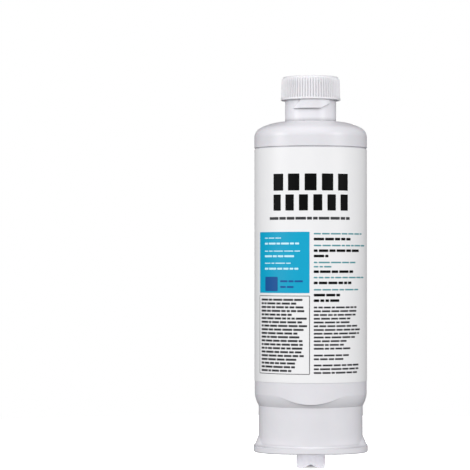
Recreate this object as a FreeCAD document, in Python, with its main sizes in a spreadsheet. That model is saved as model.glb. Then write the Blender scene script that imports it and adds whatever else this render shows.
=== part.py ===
"""Fridge water filter cartridge with a ribbed cap, a bayonet head and a carbon block inside.

Millimetres. +Z is up the cartridge's axis, the origin is the middle of the stub's end, and the front is -Y.
"""
import FreeCAD, Part
import math
import os
from enum import IntEnum
from types import SimpleNamespace

import Sketcher

FULL_TURN = 360
TOUCH = 1e-4
LEAST_CUT = 0.01


class Spot(IntEnum):
    """Points of a sketch's edge, by the numbers that constraints use."""

    START = 1
    END = 2
    CENTRE = 3


class Axis(IntEnum):
    """A sketch's own axes, by the numbers that constraints use."""

    ACROSS = -1
    UP = -2


ORIGIN = (Axis.ACROSS, Spot.START)

# Driving sizes, one sheet row each: name, value, what it is.
SIZES = [
    ("body_radius", 31.0, "sump's straight wall, outside"),
    ("body_wall", 2.2, "sump's wall thickness"),
    ("body_height", 136.1, "straight wall, rounded edge to seam"),
    ("seam_height", 0.6, "height of the shadow gap under the head"),
    ("seam_depth", 0.5, "depth of the shadow gap under the head"),
    ("waist_step", 2.15, "how far the waist stands in from the wall"),
    ("waist_height", 22.1, "waist, rim to rounded edge"),
    ("grip_height", 6.5, "height of the body's rounded lower edge"),
    ("grip_arc", 16.0, "radius of the rounded lower edge's section"),
    ("tongue_rise", 1.9, "tongue's tip above the waist"),
    ("tongue_reach", 26.0, "half width of the tongue's outline"),
    ("tongue_lift", 0.5, "how far the outline runs up past the rounded edge"),
    ("rim_height", 3.2, "flange rim's upright band"),
    ("rim_lip", 0.45, "flare's overhang at the front and back"),
    ("rim_shelf", 0.3, "rim's least ledge outside the flare"),
    ("rim_corner", 24.0, "radius of the rim's four corners"),
    ("rim_round", 0.8, "rounding of the rim's lower edge"),
    ("ear_reach", 2.4, "how far an ear's tip stands out from the waist"),
    ("ear_radius", 17.7, "radius of an ear's outline"),
    ("ear_blend", 12.0, "radius of the hollow between an ear and the front"),
    ("ear_height", 5.8, "height of an ear's flare above the rim"),
    ("floor_thickness", 2.6, "sump's floor above the flange's underside"),
    ("stub_radius", 8.0, "keyed stub, outside"),
    ("stub_length", 9.3, "keyed stub, length"),
    ("stub_wall", 2.3, "keyed stub, wall"),
    ("stub_depth", 7.0, "depth of the stub's blind bore"),
    ("key_width", 9.6, "width of the key notch at the stub's end"),
    ("key_height", 2.4, "height of the key notch"),
    ("skirt_lip", 0.25, "head's overhang outside the sump's wall"),
    ("skirt_height", 5.8, "head's upright skirt"),
    ("weld_lap", 5.0, "weld ring's length inside the sump"),
    ("weld_wall", 2.0, "weld ring's thickness"),
    ("weld_gap", 0.05, "radial gap at the weld ring"),
    ("dome_rise", 8.7, "dome's height, skirt to neck"),
    ("dome_corner", 6.0, "radius of the dome's outer corner"),
    ("dome_wall", 2.4, "dome's thickness"),
    ("neck_radius", 14.15, "neck, outside"),
    ("neck_wall", 2.4, "neck's thickness"),
    ("neck_height", 13.3, "neck, dome to top"),
    ("spigot_radius", 11.6, "larger sealing step"),
    ("spigot_height", 4.0, "larger sealing step, height"),
    ("spigot_wall", 1.5, "wall behind the larger seal's groove"),
    ("nose_radius", 6.0, "smaller sealing step"),
    ("nose_height", 3.5, "smaller sealing step, height"),
    ("outlet_radius", 2.4, "outlet through the nose"),
    ("socket_radius", 4.6, "bore that takes the element's spigot"),
    ("socket_wall", 1.4, "socket tube's wall"),
    ("socket_length", 22.0, "socket tube's depth"),
    ("inlet_radius", 0.85, "inlet hole"),
    ("inlet_count", 6, "number of inlet holes"),
    ("spigot_ring", 2.4, "larger seal's thickness"),
    ("nose_ring", 1.8, "smaller seal's thickness"),
    ("outlet_ring", 1.2, "inner seal's thickness"),
    ("ring_proud", 0.45, "how far an outer seal stands out of its groove"),
    ("ring_gap", 0.03, "gap between a seal and its groove's floor"),
    ("ring_side", 0.1, "gap on each side of a seal in its groove"),
    ("lug_count", 2, "number of bayonet lugs"),
    ("lug_rise", 7.0, "lug's lower edge above the dome"),
    ("lug_height", 4.7, "lug's height"),
    ("lug_reach", 1.55, "how far a lug stands out from the neck"),
    ("lug_lead", 10.4, "lug's half on the ramp side"),
    ("lug_tail", 9.4, "lug's half on the other side, at its lower edge"),
    ("lug_slant", 4.2, "how far the tail leans in over the lug's height"),
    ("ramp_start", 5.6, "where the ramp leaves the lower edge"),
    ("ramp_height", 2.6, "ramp's height"),
    ("seat_gap", 0.2, "gap between the cap's lip and the lugs"),
    ("cap_clearance", 0.4, "radial gap between the cap and the neck"),
    ("cap_wall", 1.5, "cap's wall at its top"),
    ("cap_draft", 0.4, "how much wider the cap is at its lip"),
    ("cap_roof", 1.6, "cap's top thickness"),
    ("cap_headroom", 2.6, "gap between the nose and the cap's roof"),
    ("cap_corner", 0.9, "rounding of the cap's top edge"),
    ("lead_width", 0.95, "how much wider the cap's bore is at its mouth"),
    ("lead_height", 2.0, "height of the taper inside the cap's mouth"),
    ("lip_height", 1.2, "smooth bead at the cap's lower edge"),
    ("lip_bulge", 0.15, "how far the bead stands out from the ribs"),
    ("rib_count", 68, "number of ribs round the cap"),
    ("rib_depth", 0.5, "depth of the valleys between the ribs"),
    ("rib_valley", 0.9, "width of a valley at the ribs' tips"),
    ("rib_fade", 0.6, "height and depth of the bevel that the ribs end in"),
    ("label_glue", 0.05, "glue under the label"),
    ("label_film", 0.15, "label's thickness"),
    ("label_low", 7.2, "bare wall under the label"),
    ("label_high", 1.0, "bare wall over the label"),
    ("flow_gap", 2.6, "water gap between the element and the waist"),
    ("end_wall", 1.2, "end cap's rim thickness"),
    ("end_floor", 2.5, "end cap's disc thickness"),
    ("end_depth", 6.0, "how far an end cap's rim covers the block"),
    ("end_gap", 0.1, "glue between an end cap and the wrap"),
    ("wrap_thickness", 1.2, "prefilter wrap"),
    ("block_bore", 5.5, "radius of the block's bore"),
    ("element_headroom", 2.7, "element's top below the seam"),
    ("fin_height", 4.0, "centring fins under the lower end cap"),
    ("fin_width", 1.6, "centring fin, thickness"),
    ("fin_count", 4, "number of centring fins"),
    ("fin_start", 8.0, "inner end of a fin"),
    ("fin_gap", 0.3, "gap between a fin and the waist's wall"),
    ("feed_gap", 0.2, "gap between the element's spigot and its socket"),
    ("feed_bore", 1.9, "bore through the element's spigot"),
    ("feed_lap", 12.0, "length of the spigot inside the socket"),
    ("feed_lead", 3.0, "seal's middle below the spigot's tip"),
    ("cut_over", 1.0, "how far a cutter runs past the face it leaves by"),
]

doc = FreeCAD.newDocument("filter_cartridge")
sheet = doc.addObject("Spreadsheet::Sheet", "dims")
for row, (alias, amount, note) in enumerate(SIZES, start=1):
    sheet.set(f"A{row}", note)
    sheet.set(f"B{row}", str(amount))
    sheet.setAlias(f"B{row}", alias)
doc.recompute()

size = SimpleNamespace(**{alias: f"dims.{alias}" for alias, _, _ in SIZES})


def value(expression):
    """Number that an expression over the sheet has now."""
    return float(sheet.evalExpression(expression.replace("dims.", "")))


# Levels up the axis, each as an expression over the sheet.
FLANGE_UNDER = size.stub_length
RIM_TOP = f"({FLANGE_UNDER} + {size.rim_height})"
WAIST_TOP = f"({RIM_TOP} + {size.waist_height})"
GRIP_TOP = f"({WAIST_TOP} + {size.grip_height})"
SEAM = f"({GRIP_TOP} + {size.body_height})"
SKIRT_TOP = f"({SEAM} + {size.skirt_height})"
DOME_TOP = f"({SKIRT_TOP} + {size.dome_rise})"
LUG_BASE = f"({DOME_TOP} + {size.lug_rise})"
LUG_TOP = f"({LUG_BASE} + {size.lug_height})"
NECK_TOP = f"({DOME_TOP} + {size.neck_height})"
NECK_ROOF = f"({NECK_TOP} - {size.neck_wall})"
SPIGOT_TOP = f"({NECK_TOP} + {size.spigot_height})"
NOSE_TOP = f"({SPIGOT_TOP} + {size.nose_height})"
CAP_BASE = f"({LUG_TOP} + {size.seat_gap})"
LIP_TOP = f"({CAP_BASE} + {size.lip_height})"
CAP_ROOF = f"({NOSE_TOP} + {size.cap_headroom})"
CAP_TOP = f"({CAP_ROOF} + {size.cap_roof})"
FLOOR_TOP = f"({FLANGE_UNDER} + {size.floor_thickness})"
SOCKET_END = f"({NECK_ROOF} - {size.socket_length})"
FEED_TIP = f"({SOCKET_END} + {size.feed_lap})"
FEED_RING_Z = f"({FEED_TIP} - {size.feed_lead})"
ELEMENT_TOP = f"({SEAM} - {size.element_headroom})"
ELEMENT_BASE = f"({FLOOR_TOP} + {size.fin_height})"
BLOCK_BASE = f"({ELEMENT_BASE} + {size.end_floor})"
BLOCK_TOP = f"({ELEMENT_TOP} - {size.end_floor})"
SPIGOT_RING_Z = f"({NECK_TOP} + {size.spigot_height} / 2)"
NOSE_RING_Z = f"({SPIGOT_TOP} + {size.nose_height} / 2)"

# Radii that follow from the sheet.
WAIST = f"({size.body_radius} - {size.waist_step})"
WAIST_IN = f"({WAIST} - {size.body_wall})"
BODY_IN = f"({size.body_radius} - {size.body_wall})"
FLARE = f"({WAIST} + {size.rim_lip})"
EAR_OFFSET = f"({WAIST} + {size.ear_reach} - {size.ear_radius})"
STUB_BORE = f"({size.stub_radius} - {size.stub_wall})"
SKIRT = f"({size.body_radius} + {size.skirt_lip})"
WELD = f"({BODY_IN} - {size.weld_gap})"
WELD_IN = f"({WELD} - {size.weld_wall})"
NECK_IN = f"({size.neck_radius} - {size.neck_wall})"
LUG = f"({size.neck_radius} + {size.lug_reach})"
SOCKET_OUT = f"({size.socket_radius} + {size.socket_wall})"
SPIGOT_FLOOR = f"({size.spigot_radius} - {size.spigot_ring} + {size.ring_proud})"
NOSE_FLOOR = f"({size.nose_radius} - {size.nose_ring} + {size.ring_proud})"
CHANNEL = f"({SPIGOT_FLOOR} - {size.spigot_wall})"
INLET_PITCH = f"(({CHANNEL} + {SOCKET_OUT}) / 2)"
CAP_IN = f"({size.neck_radius} + {size.cap_clearance})"
CAP_OUT = f"({CAP_IN} + {size.cap_wall})"
CAP_FOOT = f"({CAP_OUT} + {size.cap_draft})"
LIP = f"({CAP_FOOT} + {size.lip_bulge})"
LABEL_IN = f"({size.body_radius} + {size.label_glue})"
LABEL_OUT = f"({LABEL_IN} + {size.label_film})"
END_OUT = f"({WAIST_IN} - {size.flow_gap})"
END_IN = f"({END_OUT} - {size.end_wall})"
WRAP = f"({END_IN} - {size.end_gap})"
BLOCK = f"({WRAP} - {size.wrap_thickness})"
FEED = f"({size.socket_radius} - {size.feed_gap})"
FEED_FLOOR = f"({size.socket_radius} - {size.outlet_ring} - 2 * {size.ring_gap})"

# The dome's section is a crown arc, level at the neck, that runs smoothly into the corner arc.
DOME_SPAN = f"({SKIRT} - {size.neck_radius})"
CROWN = (
    f"(({DOME_SPAN}^2 + {size.dome_rise}^2 - 2 * {DOME_SPAN} * {size.dome_corner})"
    f" / (2 * ({size.dome_rise} - {size.dome_corner})))"
)
CROWN_Z = f"({DOME_TOP} - {CROWN})"
CORNER_R = f"({SKIRT} - {size.dome_corner})"
BLEND_SHARE = f"({CROWN} / ({CROWN} - {size.dome_corner}))"
BLEND_R = f"({size.neck_radius} + ({CORNER_R} - {size.neck_radius}) * {BLEND_SHARE})"
BLEND_Z = f"({CROWN_Z} + ({SKIRT_TOP} - {CROWN_Z}) * {BLEND_SHARE})"


def roof_level(radius):
    """Height of the dome's inner face at a radius."""
    return f"({CROWN_Z} + sqrt(({CROWN} - {size.dome_wall})^2 - ({radius} - {size.neck_radius})^2))"


def new_body(name):
    """PartDesign body whose label names its file."""
    body = doc.addObject("PartDesign::Body", name)
    body.Label = name
    return body


def origin_part(body, role):
    """One of the body's own planes or axes."""
    return next(item for item in body.Origin.OriginFeatures if item.Role == role)


def new_sketch(body, name, plane, level=None):
    """Empty sketch on one of the body's planes, raised to a level if one is given."""
    sketch = body.newObject("Sketcher::SketchObject", name)
    sketch.AttachmentSupport = (origin_part(body, plane), [""])
    sketch.MapMode = "FlatFace"
    if level:
        sketch.setExpression("AttachmentOffset.Base.z", level)
    return sketch


def bind(sketch, constraint, expression):
    """Add a constraint and drive it from the sheet."""
    index = sketch.addConstraint(constraint)
    sketch.setExpression(f"Constraints[{index}]", expression)


def place(sketch, edge, spot, x, y):
    """Fix one point of a sketch at a place bound to the sheet."""
    for kind, axis, expression in (("DistanceX", Axis.UP, x), ("DistanceY", Axis.ACROSS, y)):
        if expression == "0":
            sketch.addConstraint(Sketcher.Constraint("PointOnObject", edge, spot, axis))
        else:
            bind(sketch, Sketcher.Constraint(kind, *ORIGIN, edge, spot, value(expression)), expression)


def outline(sketch, corners, arcs=None):
    """Draw a closed outline through corners, given as pairs of expressions.

    arcs maps the number of a corner to the centre of the arc that leaves it. Other edges are straight.
    """
    arcs = arcs or {}
    spots = [FreeCAD.Vector(value(x), value(y), 0) for x, y in corners]
    first_spot = []
    for number, start in enumerate(spots):
        end = spots[(number + 1) % len(spots)]
        if number not in arcs:
            sketch.addGeometry(Part.LineSegment(start, end))
            first_spot.append(Spot.START)
            continue
        centre = FreeCAD.Vector(*(value(each) for each in arcs[number]), 0)
        turns_left = (start - centre).cross(end - centre).z > 0
        low, high = (start, end) if turns_left else (end, start)
        angles = [math.atan2(point.y - centre.y, point.x - centre.x) for point in (low, high)]
        circle = Part.Circle(centre, FreeCAD.Vector(0, 0, 1), (start - centre).Length)
        sketch.addGeometry(Part.ArcOfCircle(circle, *angles))
        first_spot.append(Spot.START if turns_left else Spot.END)
    for number, (x, y) in enumerate(corners):
        last = (number - 1) % len(corners)
        last_spot = Spot.END if first_spot[last] == Spot.START else Spot.START
        sketch.addConstraint(Sketcher.Constraint("Coincident", last, last_spot, number, first_spot[number]))
        place(sketch, number, first_spot[number], x, y)
    for number, (centre_x, centre_y) in arcs.items():
        x, y = corners[number]
        radius = f"sqrt(({x} - {centre_x})^2 + ({y} - {centre_y})^2)"
        bind(sketch, Sketcher.Constraint("Radius", number, value(radius)), radius)


def circle_at(sketch, radius, x="0", y="0"):
    """Draw a circle whose radius and middle are bound to the sheet."""
    middle = FreeCAD.Vector(value(x), value(y), 0)
    edge = sketch.addGeometry(Part.Circle(middle, FreeCAD.Vector(0, 0, 1), value(radius)))
    bind(sketch, Sketcher.Constraint("Radius", edge, value(radius)), radius)
    place(sketch, edge, Spot.CENTRE, x, y)


def add_feature(body, kind, name, sketch, **bound):
    """Feature on a sketch, with its named sizes bound to the sheet."""
    feature = body.newObject(f"PartDesign::{kind}", name)
    feature.Profile = sketch
    for prop, expression in bound.items():
        feature.setExpression(prop, expression)
    sketch.Visibility = False
    return feature


def settle(body, feature, before=None):
    """Recompute and make sure that the feature worked, and that it took something away if it is a cut."""
    doc.recompute()
    if not feature.isValid() or feature.Shape.isNull():
        raise RuntimeError(f"{body.Label}: {feature.Name} has no valid shape")
    if before is not None and feature.Shape.Volume > before - LEAST_CUT:
        raise RuntimeError(f"{body.Label}: {feature.Name} cuts nothing")
    return feature


def spin(body, kind, name, corners, arcs=None):
    """Revolution or Groove of a section, given as radius and height, about the body's axis."""
    before = body.Tip.Shape.Volume if kind == "Groove" else None
    sketch = new_sketch(body, f"{name}_section", "XZ_Plane")
    outline(sketch, corners, arcs)
    feature = add_feature(body, kind, name, sketch)
    feature.ReferenceAxis = (sketch, ["V_Axis"])
    feature.Angle = FULL_TURN
    return settle(body, feature, before)


def sink(body, name, sketch, both_ways=False, forward=False, **bound):
    """Pocket of a sketch: against its normal, along it if forward, or both ways through everything."""
    before = body.Tip.Shape.Volume
    feature = add_feature(body, "Pocket", name, sketch, **bound)
    feature.Reversed = forward
    if both_ways:
        feature.Type = "ThroughAll"
        feature.SideType = "Symmetric"
    return settle(body, feature, before)


def ring_of(body, name, originals, count):
    """Polar pattern of features about the body's axis, left as the body's tip."""
    pattern = body.newObject("PartDesign::PolarPattern", name)
    pattern.Originals = originals
    pattern.Axis = (origin_part(body, "Z_Axis"), [""])
    pattern.Angle = FULL_TURN
    pattern.setExpression("Occurrences", count)
    body.Tip = pattern
    return settle(body, pattern)


def round_edges(body, name, radius, is_wanted):
    """Fillet every edge of the tip that passes a test."""
    base = body.Tip
    names = [f"Edge{n}" for n, edge in enumerate(base.Shape.Edges, start=1) if is_wanted(edge)]
    fillet = body.newObject("PartDesign::Fillet", name)
    fillet.Base = (base, names)
    fillet.setExpression("Radius", radius)
    return settle(body, fillet)


def tube(name, outer, inner, base, top):
    """Plain round sleeve as a padded ring."""
    body = new_body(name)
    sketch = new_sketch(body, f"{name}_ring", "XY_Plane", base)
    circle_at(sketch, outer)
    circle_at(sketch, inner)
    settle(body, add_feature(body, "Pad", f"{name}_sleeve", sketch, Length=f"{top} - {base}"))
    return body


def seal(name, floor, thickness, level):
    """O-ring as a torus about the axis, just clear of the floor of its groove."""
    ring = doc.addObject("Part::Torus", name)
    ring.Label = name
    ring.setExpression("Radius1", f"{floor} + {size.ring_gap} + {thickness} / 2")
    ring.setExpression("Radius2", f"{thickness} / 2")
    ring.setExpression("Placement.Base.z", level)
    doc.recompute()
    return ring


def is_outer_rim(edge):
    """True for an edge of the flange's underside that lies out at its rim."""
    level = value(FLANGE_UNDER)
    flat = all(abs(height - level) < TOUCH for height in (edge.BoundBox.ZMin, edge.BoundBox.ZMax))
    corner = edge.Vertexes[0].Point
    return flat and math.hypot(corner.x, corner.y) > value(WAIST) - TOUCH


def add_rim(body):
    """Flange's squarish rim plate, with large round corners."""
    half_x = f"({WAIST} + {size.ear_reach} + {size.rim_shelf})"
    half_y = f"({FLARE} + {size.rim_shelf})"
    flat_x = f"({half_x} - {size.rim_corner})"
    flat_y = f"({half_y} - {size.rim_corner})"
    corners = [
        (f"-{flat_x}", f"-{half_y}"),
        (flat_x, f"-{half_y}"),
        (half_x, f"-{flat_y}"),
        (half_x, flat_y),
        (flat_x, half_y),
        (f"-{flat_x}", half_y),
        (f"-{half_x}", flat_y),
        (f"-{half_x}", f"-{flat_y}"),
    ]
    arcs = {
        1: (flat_x, f"-{flat_y}"),
        3: (flat_x, flat_y),
        5: (f"-{flat_x}", flat_y),
        7: (f"-{flat_x}", f"-{flat_y}"),
    }
    sketch = new_sketch(body, "rim_outline", "XY_Plane", FLANGE_UNDER)
    outline(sketch, corners, arcs)
    settle(body, add_feature(body, "Pad", "rim", sketch, Length=size.rim_height))


def add_flare(body):
    """Flare over the rim: it reaches out to an ear on each side, and runs out in the waist."""
    blend_x = (
        f"((({FLARE} + {size.ear_blend})^2 - ({size.ear_radius} + {size.ear_blend})^2 + {EAR_OFFSET}^2)"
        f" / (2 * {EAR_OFFSET}))"
    )
    blend_y = f"sqrt(({FLARE} + {size.ear_blend})^2 - {blend_x}^2)"
    front_share = f"{FLARE} / ({FLARE} + {size.ear_blend})"
    ear_share = f"{size.ear_radius} / ({size.ear_radius} + {size.ear_blend})"
    front_x, front_y = f"({blend_x} * {front_share})", f"({blend_y} * {front_share})"
    ear_x = f"({EAR_OFFSET} + ({blend_x} - {EAR_OFFSET}) * {ear_share})"
    ear_y = f"({blend_y} * {ear_share})"
    corners = [
        (ear_x, f"-{ear_y}"),
        (ear_x, ear_y),
        (front_x, front_y),
        (f"-{front_x}", front_y),
        (f"-{ear_x}", ear_y),
        (f"-{ear_x}", f"-{ear_y}"),
        (f"-{front_x}", f"-{front_y}"),
        (front_x, f"-{front_y}"),
    ]
    arcs = {
        0: (EAR_OFFSET, "0"),
        1: (blend_x, blend_y),
        2: ("0", "0"),
        3: (f"-{blend_x}", blend_y),
        4: (f"-{EAR_OFFSET}", "0"),
        5: (f"-{blend_x}", f"-{blend_y}"),
        6: ("0", "0"),
        7: (blend_x, f"-{blend_y}"),
    }
    sketch = new_sketch(body, "flare_outline", "XY_Plane", RIM_TOP)
    outline(sketch, corners, arcs)
    lean = f"-atan({size.ear_reach} / {size.ear_height})"
    settle(body, add_feature(body, "Pad", "flare", sketch, Length=size.ear_height, TaperAngle=lean))


def grip_cutter():
    """Body that takes the rounded lower edge off the sump, except at the front and back tongues."""
    cutter = new_body("grip_cutter")
    outside = f"({size.body_radius} + {size.cut_over})"
    chord = f"sqrt({size.waist_step}^2 + {size.grip_height}^2)"
    sag = f"sqrt({size.grip_arc}^2 - ({chord} / 2)^2)"
    middle_r = f"(({WAIST} + {size.body_radius}) / 2 - {sag} * {size.grip_height} / {chord})"
    middle_z = f"(({WAIST_TOP} + {GRIP_TOP}) / 2 + {sag} * {size.waist_step} / {chord})"
    corners = [
        (WAIST, WAIST_TOP),
        (outside, WAIST_TOP),
        (outside, GRIP_TOP),
        (size.body_radius, GRIP_TOP),
    ]
    spin(cutter, "Revolution", "rounding", corners, {3: (middle_r, middle_z)})

    # The tongue's outline is an S on each side, from its tip to just over the rounded edge.
    half = f"({size.tongue_reach} / 2)"
    tip_z = f"({WAIST_TOP} + {size.tongue_rise})"
    end_z = f"({GRIP_TOP} + {size.tongue_lift})"
    drop = f"(({end_z} - {tip_z}) / 2)"
    bend = f"(({half}^2 + {drop}^2) / (2 * {drop}))"
    flank_z = f"({tip_z} + {drop})"
    over = f"({end_z} + {size.cut_over})"
    sketch = new_sketch(cutter, "tongue_outline", "XZ_Plane")
    corners = [
        (f"-{half}", flank_z),
        (half, flank_z),
        (size.tongue_reach, end_z),
        (size.tongue_reach, over),
        (f"-{size.tongue_reach}", over),
        (f"-{size.tongue_reach}", end_z),
    ]
    arcs = {
        0: ("0", f"({tip_z} + {bend})"),
        1: (size.tongue_reach, f"({end_z} - {bend})"),
        5: (f"-{size.tongue_reach}", f"({end_z} - {bend})"),
    }
    outline(sketch, corners, arcs)
    sink(cutter, "tongues", sketch, both_ways=True)
    return cutter


def make_sump():
    """Straight body, rounded lower edge with tongues, waist, winged flange and keyed stub."""
    cutter = grip_cutter()
    body = new_body("sump")
    shadow = f"({size.body_radius} - {size.seam_depth})"
    shadow_z = f"({SEAM} - {size.seam_height})"
    corners = [
        ("0", size.stub_depth),
        (STUB_BORE, size.stub_depth),
        (STUB_BORE, "0"),
        (size.stub_radius, "0"),
        (size.stub_radius, FLANGE_UNDER),
        (WAIST, FLANGE_UNDER),
        (WAIST, WAIST_TOP),
        (size.body_radius, WAIST_TOP),
        (size.body_radius, shadow_z),
        (shadow, shadow_z),
        (shadow, SEAM),
        ("0", SEAM),
    ]
    spin(body, "Revolution", "blank", corners)
    add_rim(body)
    add_flare(body)
    round_edges(body, "rim_rounding", size.rim_round, is_outer_rim)

    rounding = body.newObject("PartDesign::Boolean", "rounded_edge")
    rounding.Type = "Cut"
    rounding.addObject(cutter)
    settle(body, rounding, body.Shape.Volume)

    over = f"({SEAM} + {size.cut_over})"
    cavity = [
        ("0", FLOOR_TOP),
        (WAIST_IN, FLOOR_TOP),
        (WAIST_IN, WAIST_TOP),
        (BODY_IN, GRIP_TOP),
        (BODY_IN, over),
        ("0", over),
    ]
    spin(body, "Groove", "cavity", cavity)

    notch = new_sketch(body, "key_outline", "XZ_Plane")
    half = f"({size.key_width} / 2)"
    below = f"-{size.cut_over}"
    corners = [(f"-{half}", below), (half, below), (half, "0"), ("0", size.key_height), (f"-{half}", "0")]
    outline(notch, corners)
    sink(body, "key", notch, forward=True, Length=f"{size.stub_radius} + {size.cut_over}")
    return body


def make_head():
    """Dome, neck, two ramped bayonet lugs, sealing steps and the socket for the element."""
    body = new_body("head")

    # The lugs come first, so that the neck that is added over them keeps its round wall.
    lug = new_sketch(body, "lug_outline", "XZ_Plane")
    corners = [
        (f"-{size.lug_tail}", LUG_BASE),
        (size.ramp_start, LUG_BASE),
        (size.lug_lead, f"({LUG_BASE} + {size.ramp_height})"),
        (size.lug_lead, LUG_TOP),
        (f"-({size.lug_tail} - {size.lug_slant})", LUG_TOP),
    ]
    outline(lug, corners)
    bar = settle(body, add_feature(body, "Pad", "lug_bar", lug, Length=f"{LUG} + {size.cut_over}"))
    ring_of(body, "lugs", [bar], size.lug_count)
    outside = f"({LUG} + {LUG})"
    trim = [(LUG, LUG_BASE), (outside, LUG_BASE), (outside, LUG_TOP), (LUG, LUG_TOP)]
    spin(body, "Groove", "lug_faces", trim)

    spigot_low = f"({SPIGOT_RING_Z} - {size.spigot_ring} / 2 - {size.ring_side})"
    spigot_high = f"({SPIGOT_RING_Z} + {size.spigot_ring} / 2 + {size.ring_side})"
    nose_low = f"({NOSE_RING_Z} - {size.nose_ring} / 2 - {size.ring_side})"
    nose_high = f"({NOSE_RING_Z} + {size.nose_ring} / 2 + {size.ring_side})"
    weld_end = f"({SEAM} - {size.weld_lap})"
    corners = [
        ("0", weld_end),
        (WELD, weld_end),
        (WELD, SEAM),
        (SKIRT, SEAM),
        (SKIRT, SKIRT_TOP),
        (BLEND_R, BLEND_Z),
        (size.neck_radius, DOME_TOP),
        (size.neck_radius, NECK_TOP),
        (size.spigot_radius, NECK_TOP),
        (size.spigot_radius, spigot_low),
        (SPIGOT_FLOOR, spigot_low),
        (SPIGOT_FLOOR, spigot_high),
        (size.spigot_radius, spigot_high),
        (size.spigot_radius, SPIGOT_TOP),
        (size.nose_radius, SPIGOT_TOP),
        (size.nose_radius, nose_low),
        (NOSE_FLOOR, nose_low),
        (NOSE_FLOOR, nose_high),
        (size.nose_radius, nose_high),
        (size.nose_radius, NOSE_TOP),
        ("0", NOSE_TOP),
    ]
    arcs = {4: (CORNER_R, SKIRT_TOP), 5: (size.neck_radius, CROWN_Z)}
    spin(body, "Revolution", "shell", corners, arcs)

    under = f"({weld_end} - {size.cut_over})"
    channel_top = f"({SPIGOT_TOP} - {size.spigot_wall})"
    cavity = [
        ("0", under),
        (WELD_IN, under),
        (WELD_IN, roof_level(WELD_IN)),
        (NECK_IN, roof_level(NECK_IN)),
        (NECK_IN, NECK_ROOF),
        (CHANNEL, NECK_ROOF),
        (CHANNEL, channel_top),
        (SOCKET_OUT, channel_top),
        (SOCKET_OUT, SOCKET_END),
        ("0", SOCKET_END),
    ]
    spin(body, "Groove", "inlet_space", cavity)

    out_of_socket = f"({SOCKET_END} - {size.cut_over})"
    out_of_nose = f"({NOSE_TOP} + {size.cut_over})"
    bore = [
        ("0", out_of_socket),
        (size.socket_radius, out_of_socket),
        (size.socket_radius, NECK_ROOF),
        (size.outlet_radius, NECK_ROOF),
        (size.outlet_radius, out_of_nose),
        ("0", out_of_nose),
    ]
    spin(body, "Groove", "outlet", bore)

    inlet = new_sketch(body, "inlet_outline", "XY_Plane", SPIGOT_TOP)
    circle_at(inlet, size.inlet_radius, INLET_PITCH)
    hole = sink(body, "inlet", inlet, Length=f"{size.spigot_wall} + {size.cut_over}")
    ring_of(body, "inlets", [hole], size.inlet_count)
    return body


def make_cap():
    """Protective cap with fine upright ribs over a smooth lip, and a taper that leads it onto the neck."""
    body = new_body("cap")
    shoulder = f"({CAP_OUT} - {size.rib_fade})"
    shoulder_z = f"({CAP_TOP} - {size.cap_corner})"
    rib_end = f"({shoulder_z} - {size.rib_fade})"
    corner_r = f"({shoulder} - {size.cap_corner})"
    corners = [
        (CAP_IN, f"({CAP_BASE} + {size.lead_height})"),
        (f"({CAP_IN} + {size.lead_width})", CAP_BASE),
        (LIP, CAP_BASE),
        (LIP, LIP_TOP),
        (CAP_FOOT, LIP_TOP),
        (CAP_OUT, rib_end),
        (shoulder, shoulder_z),
        (corner_r, CAP_TOP),
        ("0", CAP_TOP),
        ("0", CAP_ROOF),
        (CAP_IN, CAP_ROOF),
    ]
    spin(body, "Revolution", "cup", corners, {6: (corner_r, shoulder_z)})

    # One valley runs down the wall's slope from the top to the lip, and is repeated round the cap.
    valley = new_sketch(body, "valley_outline", "XY_Plane", CAP_TOP)
    lean = f"({size.cap_draft} / ({rib_end} - {LIP_TOP}))"
    mouth = f"({CAP_OUT} - ({CAP_TOP} - {rib_end}) * {lean})"
    floor = f"({mouth} - {size.rib_depth})"
    half = f"({size.rib_valley} / 2)"
    clear = f"({mouth} + {size.cut_over})"
    outline(valley, [(floor, "0"), (mouth, half), (clear, half), (clear, f"-{half}"), (mouth, f"-{half}")])
    cut = add_feature(body, "Pocket", "valley", valley, Length=f"({CAP_TOP} - {LIP_TOP})")
    cut.UseCustomVector = True
    cut.AlongSketchNormal = True
    cut.Direction = FreeCAD.Vector(0, 0, -1)
    cut.setExpression("Direction.x", lean)
    settle(body, cut)
    ring_of(body, "valleys", [cut], size.rib_count)
    return body


def make_upper_end_cap():
    """Cup over the block's top with the hollow spigot that feeds the head."""
    body = new_body("upper_end_cap")
    low = f"({FEED_RING_Z} - {size.outlet_ring} / 2 - {size.ring_side})"
    high = f"({FEED_RING_Z} + {size.outlet_ring} / 2 + {size.ring_side})"
    rim_end = f"({BLOCK_TOP} - {size.end_depth})"
    corners = [
        (size.feed_bore, BLOCK_TOP),
        (END_IN, BLOCK_TOP),
        (END_IN, rim_end),
        (END_OUT, rim_end),
        (END_OUT, ELEMENT_TOP),
        (FEED, ELEMENT_TOP),
        (FEED, low),
        (FEED_FLOOR, low),
        (FEED_FLOOR, high),
        (FEED, high),
        (FEED, FEED_TIP),
        (size.feed_bore, FEED_TIP),
    ]
    spin(body, "Revolution", "cup", corners)
    return body


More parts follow.
